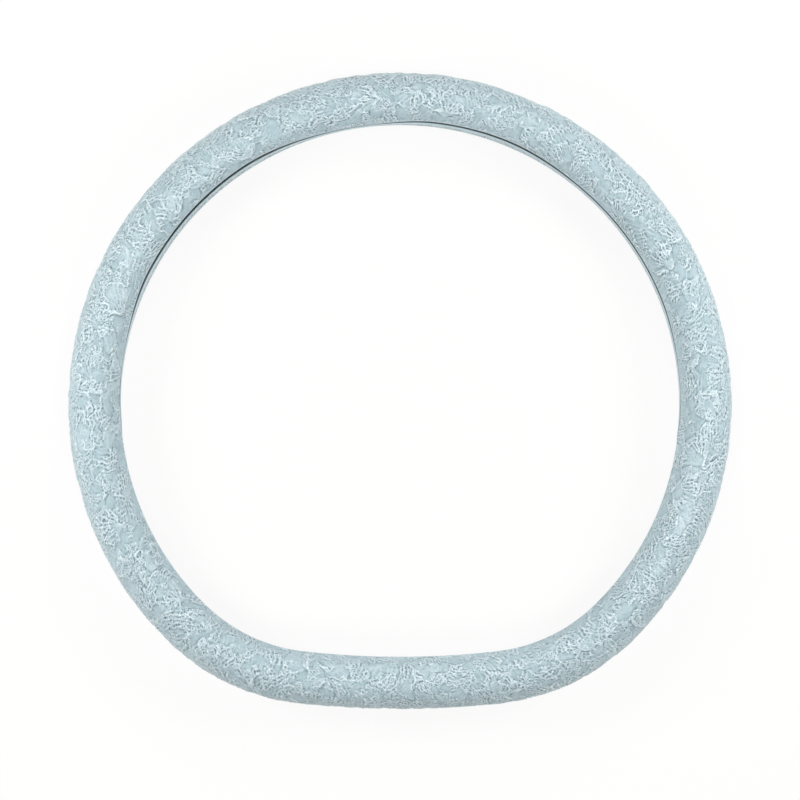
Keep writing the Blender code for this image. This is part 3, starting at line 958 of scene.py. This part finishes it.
def make_stitches(material):
    """Two rows of lockstitches that hold the turned-in hems down, on the channel side."""
    count = round(RIM_LENGTH / STITCH_PITCH)
    middle = (np.arange(count) + 0.5) * RIM_LENGTH / count
    front_lip, rear_lip = lips_at(middle)
    course, lift = np.array(STITCH_COURSE).T
    along = STITCH_LENGTH * course
    distance = middle[:, None] + along[None, :]
    around = np.arange(STITCH_SIDES) * 2 * math.pi / STITCH_SIDES
    points = []
    for lip, inward in ((front_lip, 1), (rear_lip, -1)):
        angle = lip + inward * STITCH_INSET / MEAN_RADIUS
        for side in around:
            half_width = STITCH_WIDTH / 2 * np.cos(side) * (0.5 + 0.5 * lift)
            turn = angle[:, None] + (half_width / MEAN_RADIUS)[None, :]
            rise = STITCH_RISE * lift + STITCH_ROUNDNESS * np.sin(side) * (0.4 + 0.6 * lift)
            depth = LIP_THICKNESS + STITCH_WIDTH * rise
            points.append(place(distance, turn, np.broadcast_to(depth, distance.shape)))
    points = np.array(points).reshape(2, STITCH_SIDES, count, len(along), 3)
    vertices = points.transpose(0, 2, 3, 1, 4).reshape(-1, 3)
    faces = []
    for stitch in range(2 * count):
        first = stitch * len(along) * STITCH_SIDES
        for ring in range(len(along) - 1):
            for side in range(STITCH_SIDES):
                after = (side + 1) % STITCH_SIDES
                low = first + ring * STITCH_SIDES
                faces.append((low + side, low + after, low + STITCH_SIDES + after, low + STITCH_SIDES + side))
        faces.append([first + side for side in reversed(range(STITCH_SIDES))])
        last = first + (len(along) - 1) * STITCH_SIDES
        faces.append([last + side for side in range(STITCH_SIDES)])
    mesh = bpy.data.meshes.new("hem_stitches")
    mesh.from_pydata(vertices.tolist(), [], faces)
    mesh.shade_smooth()
    mesh.materials.append(material)
    piece = bpy.data.objects.new("hem_stitches", mesh)
    bpy.context.scene.collection.objects.link(piece)
    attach(piece, "root")


# Materials

def node_maker(material):
    """Function that adds a node to a material, with its settings, values and links."""
    tree = material.node_tree

    def add(kind, inputs=None, **settings):
        node = tree.nodes.new(kind)
        for name, value in settings.items():
            setattr(node, name, value)
        for name, value in (inputs or {}).items():
            if isinstance(value, bpy.types.NodeSocket):
                tree.links.new(value, node.inputs[name])
            else:
                node.inputs[name].default_value = value
        return node

    return add


def new_material(name):
    """Material with its own node maker and its shader."""
    material = bpy.data.materials.new(name)
    material.use_nodes = True
    return material, node_maker(material), material.node_tree.nodes["Principled BSDF"]


def blend(add, share, low, high):
    """Colour between two colours."""
    mixed = add("ShaderNodeMix", {"Factor": share, "A": low, "B": high}, data_type="RGBA")
    return mixed.outputs["Result"]


def stretch_range(add, value, low, high):
    """Share of the way from a low value to a high one."""
    spread = add("ShaderNodeMapRange", {"Value": value, "From Min": low, "From Max": high})
    return spread.outputs["Result"]


def lace_material():
    """Satin with painted shade in the creases, painted highlights on the crests, painted dark shade on
    turned-in fabric, and a fine weave.
    """
    material, add, shader = new_material("lace_satin")
    tree = material.node_tree
    strip = add("ShaderNodeAttribute", attribute_name="strip").outputs["Vector"]
    painted_light = add("ShaderNodeSeparateXYZ", {"Vector": strip}).outputs["Z"]
    patches = add("ShaderNodeTexNoise", {"Vector": strip, "Scale": 0.11, "Detail": 2.0})
    satin = blend(add, patches.outputs["Fac"], SATIN_DARK, SATIN_LIGHT)
    # Painted shade darkens the creases; painted highlights with painted glints lighten the crests
    crease_shaded = blend(add, stretch_range(add, painted_light, 0.0, CREASE_SHADE_END), PAINTED_CREASE_SHADE, satin)
    glints = add("ShaderNodeTexNoise", {"Vector": strip, "Scale": 1.3, "Detail": 3.0})
    crest_highlight = blend(add, glints.outputs["Fac"], PAINTED_HIGHLIGHT_DIM, PAINTED_HIGHLIGHT_BRIGHT)
    shaded_and_highlit = blend(add, stretch_range(add, painted_light, CREST_HIGHLIGHT_START, 1.0), crease_shaded, crest_highlight)
    # Turned-in fabric painted dark as the shade inside the slit
    colour = blend(add, stretch_range(add, painted_light, 0.0, PAINTED_SLIT_SHADE / 2), shaded_and_highlit, SLIT_SHADE_COLOUR)
    tree.links.new(colour, shader.inputs["Base Color"])
    gloss = add("ShaderNodeMapRange", {"Value": painted_light, "To Min": 0.43, "To Max": 0.19})
    tree.links.new(gloss.outputs["Result"], shader.inputs["Roughness"])
    shader.inputs["Specular IOR Level"].default_value = 0.75
    shader.inputs["Sheen Weight"].default_value = 0.12
    shader.inputs["Sheen Roughness"].default_value = 0.4
    weave = add(
        "ShaderNodeTexWave",
        {"Vector": strip, "Scale": 1.1, "Distortion": 1.2, "Detail": 2.0},
        bands_direction="DIAGONAL",
    )
    grain = add("ShaderNodeTexNoise", {"Vector": strip, "Scale": 1.4, "Detail": 4.0})
    mixed = add("ShaderNodeMath", {0: weave.outputs["Fac"], 1: grain.outputs["Fac"]}, operation="ADD")
    bump = add("ShaderNodeBump", {"Strength": 0.6, "Distance": 0.00018, "Height": mixed.outputs["Value"]})
    tree.links.new(bump.outputs["Normal"], shader.inputs["Normal"])
    return material


def rubber_material():
    """Matt dark rubber with a fine grain."""
    material, add, shader = new_material("rubber")
    tree = material.node_tree
    place_on = add("ShaderNodeTexCoord").outputs["Object"]
    cloud = add("ShaderNodeTexNoise", {"Vector": place_on, "Scale": 260.0, "Detail": 4.0}).outputs["Fac"]
    tree.links.new(blend(add, cloud, RUBBER_DARK, RUBBER_LIGHT), shader.inputs["Base Color"])
    gloss = add("ShaderNodeMapRange", {"Value": cloud, "To Min": 0.65, "To Max": 0.9})
    tree.links.new(gloss.outputs["Result"], shader.inputs["Roughness"])
    bump = add("ShaderNodeBump", {"Strength": 0.3, "Distance": 0.0002, "Height": cloud})
    tree.links.new(bump.outputs["Normal"], shader.inputs["Normal"])
    return material


def floor_material():
    """Pale floor, nearly white to the camera, that still takes the object's shadow."""
    material, add, shader = new_material("pale_floor")
    tree = material.node_tree
    shader.inputs["Base Color"].default_value = FLOOR_PALE
    shader.inputs["Roughness"].default_value = 0.9
    path = add("ShaderNodeLightPath").outputs
    seen = add("ShaderNodeMath", {0: path["Is Camera Ray"], 1: path["Is Glossy Ray"]}, operation="MAXIMUM")
    share = add("ShaderNodeMath", {0: seen.outputs["Value"], 1: FLOOR_GLOW_SHARE}, operation="MULTIPLY")
    glow = add("ShaderNodeEmission", {"Color": FLOOR_GLOW, "Strength": 1.0})
    ends = {0: share.outputs["Value"], 1: shader.outputs["BSDF"], 2: glow.outputs["Emission"]}
    mix = add("ShaderNodeMixShader", ends)
    tree.links.new(mix.outputs["Shader"], tree.nodes["Material Output"].inputs["Surface"])
    return material


# Stage

def soft_box(name, location, power):
    """Square soft light that faces the ring's middle."""
    lamp = bpy.data.lights.new(name, "AREA")
    lamp.shape = "RECTANGLE"
    lamp.size = lamp.size_y = SOFT_BOX_SIZE
    lamp.energy = power
    thing = bpy.data.objects.new(name, lamp)
    thing.location = location
    direction = -thing.location.normalized()
    thing.rotation_euler = direction.to_track_quat("-Z", "Y").to_euler()
    bpy.context.scene.collection.objects.link(thing)


def make_stage():
    """Floor, camera, pale surroundings and four soft lights."""
    bpy.ops.mesh.primitive_plane_add(size=FLOOR_SIZE, location=(0, 0, FLOOR_HEIGHT))
    floor = bpy.context.object
    floor.name = "floor"
    floor.data.materials.append(floor_material())

    camera_data = bpy.data.cameras.new("camera")
    camera_data.lens = CAMERA_LENS
    camera_data.shift_y = CAMERA_SHIFT_Y
    camera = bpy.data.objects.new("camera", camera_data)
    camera.location = (0.0, 0.0, CAMERA_HEIGHT)
    bpy.context.scene.collection.objects.link(camera)
    bpy.context.scene.camera = camera

    world = bpy.data.worlds.new("studio")
    bpy.context.scene.world = world
    world.use_nodes = True
    background = world.node_tree.nodes["Background"]
    background.inputs["Color"].default_value = (1.0, 1.0, 1.0, 1.0)
    background.inputs["Strength"].default_value = WORLD_STRENGTH

    for name, location, power in SOFT_BOXES:
        soft_box(name, location, power)
    bpy.context.scene.view_settings.view_transform = "Standard"


satin = lace_material()
make_sleeve(satin)
make_lining(rubber_material())
# The stitches carry no strip values, so they take the painted crease-shade colour throughout
make_stitches(satin)
make_stage()
